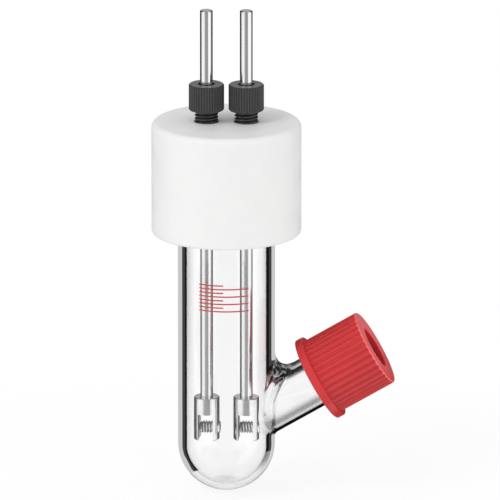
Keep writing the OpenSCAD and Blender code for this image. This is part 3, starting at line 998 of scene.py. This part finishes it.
# %% Rods
groove_z, groove_r = 98.9, rod_r - 0.1
rod_outline = rounded(
    [(0, rod_low, 0), (rod_r - 0.3, rod_low, 0.1), (rod_r, rod_low + 0.3, 0.1),
     (rod_r, groove_z - 0.15, 0.05), (groove_r, groove_z - 0.05, 0.05), (groove_r, groove_z + 0.05, 0.05),
     (rod_r, groove_z + 0.15, 0.05), (rod_r, rod_high - 0.2, 0.1), (rod_r - 0.2, rod_high, 0.1),
     (0, rod_high, 0)])
rod = turned("rod_blank", rod_outline, 128, polished)
pair(rod, "polished_rod", "electrode", "polished_steel", "electrode_rod")

# %% [markdown]
# ## The clamps and their screws
# A clamp is a short turned bar, bored for the rod at its top and slit from below, so that a plate
# slips into the slot and a headless screw holds it there. The bar is spun, the slot and the screw's
# hole are cut out of it, and a narrow bevel breaks the edges, as a file would.

# %% Clamps
def softened(piece, width, corner=35):
    """Breaks a piece's edges sharper than corner degrees with a bevel, its width in millimetres."""
    step = piece.modifiers.new("edges", "BEVEL")
    step.width, step.segments, step.angle_limit = width * MM, 2, math.radians(corner)
    return settled(piece)


clamp_bore_r, clamp_bore_low, clamp_edge_r = 1.52, 19.4, clamp_r - 0.15
slot_half, slot_top, slot_reach, slot_foot = 1.75, clamp_low + 6.4, 5, 10
clamp_turn = Matrix.Rotation(math.radians(-5), 4, "Z")
crosswise = Matrix.Rotation(math.radians(90), 4, "Y")
clamp_outline = rounded(
    [(0, clamp_low, 0), (clamp_edge_r, clamp_low, 0.05), (clamp_r, clamp_low + 0.15, 0.05)]
    + straight(clamp_r, clamp_low + 0.1, clamp_high - 0.1, 0.4)
    + [(clamp_r, clamp_high - 0.15, 0.05), (clamp_edge_r, clamp_high, 0.05),
       (clamp_bore_r, clamp_high, 0.05), (clamp_bore_r, clamp_bore_low, 0), (0, clamp_bore_low, 0)])
clamp = turned("clamp_blank", clamp_outline, 128, turned_steel)
slot_corners = [(x, y, z) for x in (-slot_half, slot_half) for y in (-slot_reach, slot_reach)
                for z in (slot_foot, slot_top)]
slot_faces = [(0, 1, 3, 2), (4, 6, 7, 5), (0, 4, 5, 1), (2, 3, 7, 6), (0, 2, 6, 4), (1, 5, 7, 3)]
slot_cutter = new_piece("slot_cutter", slot_corners, slot_faces, turned_steel)
hole_cutter = turned("hole_cutter", [(0, 0), (1.56, 0), (1.56, 6), (0, 6)], 64, turned_steel)
moved(hole_cutter, shift(0, 0, screw_z) @ crosswise)
cut_out(clamp, slot_cutter, hole_cutter)
softened(clamp, 0.06)
pair(clamp, "slotted_clamp", "electrode", "turned_steel", "electrode_clamp", 25, clamp_turn)

# %% Clamp screws
tip_high, thread_high, screw_high, socket_r, socket_floor = 0.5, 4.65, 4.85, 0.75, 3.65
screw_outline = [(0, 0), (0.75, 0), (1.05, 0.12), (screw_r, tip_high)]
screw_outline += [(r, z) for r, z, ease in straight(screw_r, tip_high, thread_high, 0.06)]
screw_outline += [(screw_r, thread_high), (1.34, screw_high), (0.98, screw_high),
                  (socket_r, screw_high - 0.1), (socket_r, socket_floor), (0, socket_floor - 0.2)]
last = len(screw_outline) - 1
screw = turned("screw_blank", screw_outline, 96, threaded_steel, (last - 2, last - 1))
ridged(screw, 1, 0.65, 0.4, 1.1, (0.1, screw_high - 0.15), 0.25, (screw_r - 0.05, 2.0))
pair(screw, "grub_screw", "screw", "turned_steel", "clamp_screw", 50,
     clamp_turn @ shift(-1.65, 0, screw_z) @ crosswise)

# %% [markdown]
# ## The side cap
# The red cap is open in the middle, so that a needle reaches the septum under it. It is moulded in
# one piece: a plain collar at its foot, straight ribs for the fingers, a rounded face, and a thread
# inside. It is made standing up and then laid along the side arm.

# %% Side cap
face_low, mouth_r, collar_high, septum_low = 39.35, 5.1, 26.75, 37.35
cap_outline = rounded(
    straight(cap_bore_r, cap_low + 0.25, face_low - 0.05, 0.25)
    + [(cap_bore_r, face_low, 0.15), (mouth_r, face_low, 0.1), (mouth_r, cap_high, 0.12),
       (cap_r, cap_high, 0.4), (cap_r, 39.6, 0), (cap_r, 33, 0), (cap_r, 28, 0), (cap_r, collar_high, 0.15),
       (collar_r, collar_high, 0.35), (collar_r, cap_low, 0.35), (cap_bore_r + 0.3, cap_low, 0.15)], 6)
cap = turned("ribbed_cap", cap_outline, 360, red_plastic)
ridged(cap, 36, None, 0.36, 2.2, (collar_high - 0.2, cap_high + 0.05), 0.5, (cap_r - 0.55, cap_r + 0.1))
ridged(cap, 1, arm_pitch, -0.8, 1.3, (cap_low + 0.45, face_low - 0.45), 0.6,
       (cap_bore_r - 0.1, cap_bore_r + 0.05))
arm_axes = Matrix((upward, sideways, along)).transposed().to_4x4()
arm_frame = Matrix.Translation(Vector(arm_root) * MM) @ arm_axes
smoothed(moved(cap, arm_frame), 45)
fixed(cap, "side_cap", "red_cap", "side_cap")

# %% [markdown]
# ## Seals and washers
# A soft septum with a thin white facing closes the arm under the cap. A flat seal lies between the
# lid and the glass rim, and in each well a round seal grips the rod under a white washer.

# %% Seals and washers
septum_r, washer_low, cord_middle_r, cord_middle_z, cord_r = 7.1, 83.9, 2.2, 83.2, 0.625
septum = turned("soft_septum", flat_ring(0, septum_r, septum_low, face_low, 0.15, 0.25), 96,
                red_silicone)
facing_disc = turned("septum_facing_disc", flat_ring(0, septum_r, arm_rim, septum_low, 0.05), 96,
                     white_plastic)
for piece, slot_name, node in ((septum, "septum_rubber", "side_septum"),
                               (facing_disc, "white_ptfe", "septum_facing")):
    smoothed(moved(piece, arm_frame))
    fixed(piece, "side_seal", slot_name, node)
gasket = turned("flat_seal", flat_ring(8.95, 12.45, rim_z, lid_roof, 0.15), 128, grey_rubber)
fixed(smoothed(gasket), "lid_seal", "seal_rubber", "lid_gasket")
cord_circle = ring_at(cord_r, 2 * math.pi * np.arange(24) / 24, 0)[:, :2]
cord_outline = cord_circle + (cord_middle_r, cord_middle_z)
cord = turned("cord_blank", cord_outline, 96, black_rubber)
pair(cord, "round_seal", "oring", "seal_rubber", "gland_oring")
washer = turned("washer_blank", flat_ring(nut_bore_r, shank_r, washer_low, nut_low, 0.08), 96,
                white_plastic)
pair(washer, "thrust_washer", "washer", "white_ptfe", "gland_washer")

# %% [markdown]
# ## Marks on the glass
# A short scale of plain level strokes is fired on the front of the tube in red enamel. Every other
# stroke is shorter. A second tree lays out the strokes on a line and wraps them round the glass.

# %% The marks tree
marks, given = shape_tree("marks", "Strokes", "Lowest", "Step", "Long", "Short", "Weight", "Thickness",
                          "Radius", "Start")
line = marks.node("GeometryNodeMeshLine", {
    "Count": given["Strokes"], "Start Location": marks.joined(z=given["Lowest"]),
    "Offset": marks.joined(z=given["Step"])})
odd = marks.node("GeometryNodeInputIndex").of("MODULO", 2)
length = given["Long"] - (given["Long"] - given["Short"]) * odd
slid = marks.joined(given["Start"] + length * 0.5)
line = marks.node("GeometryNodeSetPosition", {"Geometry": line, "Offset": slid})
stroke = marks.node("GeometryNodeMeshCube", {"Size": (1, 1, 1), "Vertices X": 28})
size = marks.joined(length, given["Thickness"], given["Weight"])
strokes = marks.node("GeometryNodeInstanceOnPoints",
                     {"Points": line, "Instance": stroke, "Scale": size})
strokes = marks.node("GeometryNodeRealizeInstances", {0: strokes})
x, y, z = marks.parts(marks.node("GeometryNodeInputPosition"))
reach, round_by = given["Radius"] - y, x / given["Radius"]
wrapped = marks.joined(round_by.of("SINE") * reach, round_by.of("COSINE") * reach * -1, z)
strokes = marks.node("GeometryNodeSetPosition", {"Geometry": strokes, "Position": wrapped})
shape_end(marks, strokes, given["Finish"])
scale_marks = bpy.data.objects.new("enamel_scale", bpy.data.meshes.new("enamel_scale"))
scene.collection.objects.link(scale_marks)
shaped(scale_marks, marks, enamel, Strokes=8.0, Lowest=46.6 * MM, Step=0.9 * MM, Long=12.2 * MM,
       Short=6.0 * MM, Weight=0.32 * MM, Thickness=0.05 * MM, Radius=(tube_r + 0.015) * MM,
       Start=-6.4 * MM)
fixed(scale_marks, "cell", "red_cap")

# %% [markdown]
# ## The table
# A plain pale table top fades into the white air before its edge. The mirror-like surfaces don't
# see it, so that the rods show the room's strips all the way down.

# %% Table
table_top = Finish("pale_table")
away = table_top.step(diagonal(table_top.x, table_top.y), 70, 190)
paper = table_top.grain(3, 3.0)
shadowed = table_top.shader(Base_Color=table_top.ramp(paper, (0.3, 0.90), (0.7, 0.925)), Roughness=0.9,
                            Specular_IOR_Level=0.1, Normal=table_top.bumps(paper, 0.01))
lit = table_top.node("ShaderNodeEmission", {"Color": grey(1), "Strength": 1.02})
surface = table_top.either(0.84, shadowed, lit)
mirrored = (table_top.ray("Glossy Depth") > 0.5) * (table_top.ray("Transmission Depth") > 3.5)
table_top.finished(table_top.either(mirrored.of("MAXIMUM", away), surface,
                                    table_top.node("ShaderNodeBsdfTransparent")))
table_r, just_below, table_sides = 0.4, -0.02 * MM, 96
table_ring = ring_at(table_r, 2 * math.pi * np.arange(table_sides) / table_sides, just_below)
table_mesh = bpy.data.meshes.new("table")
table_mesh.from_pydata(table_ring.tolist(), [], [tuple(range(table_sides))])
table_mesh.materials.append(table_top.material)
table = bpy.data.objects.new("table", table_mesh)
scene.collection.objects.link(table)
table.visible_glossy = False
print("table ready")

# %% Light paths
scene.cycles.use_denoising = True
scene.cycles.max_bounces = 24
scene.cycles.transmission_bounces = 24
scene.cycles.glossy_bounces = 10
scene.cycles.transparent_max_bounces = 16
scene.cycles.sample_clamp_indirect = 8
scene.cycles.blur_glossy = 0.3
print("bounces", scene.cycles.max_bounces)
